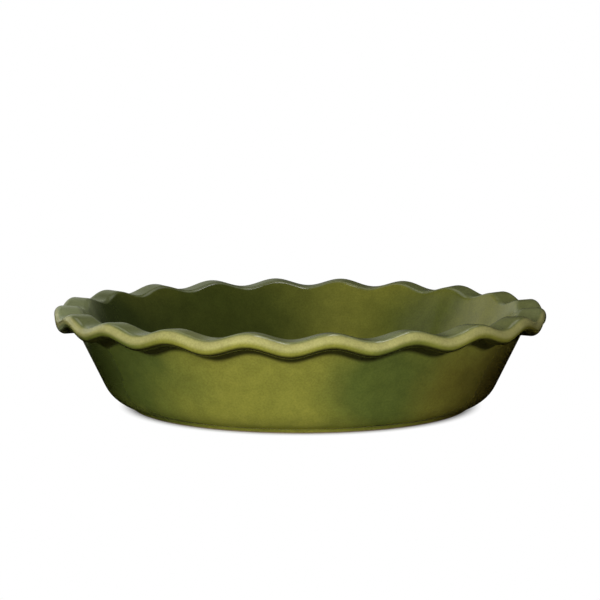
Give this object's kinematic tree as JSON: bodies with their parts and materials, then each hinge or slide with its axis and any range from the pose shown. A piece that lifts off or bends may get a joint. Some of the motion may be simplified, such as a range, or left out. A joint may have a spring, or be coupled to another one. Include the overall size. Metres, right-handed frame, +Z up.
{
  "type": "pie dish",
  "caption": "Round stoneware pie dish with sloping walls, a low foot ring and a flat rim that waves up and down in even ruffles.",
  "frame": {"origin": "on the table under the middle of the dish", "axes": "+Z up out of the dish's mouth, along its axis of rotation; +X and +Y each through a crest of the rim's ruffles"},
  "size_m": [0.266, 0.266, 0.0552],
  "materials": {
    "clay": "matte",
    "glaze": "gloss"
  },
  "bodies": {
    "root": {"stoneware_body": "clay", "glaze_coat": "glaze"}
  },
  "joints": []
}
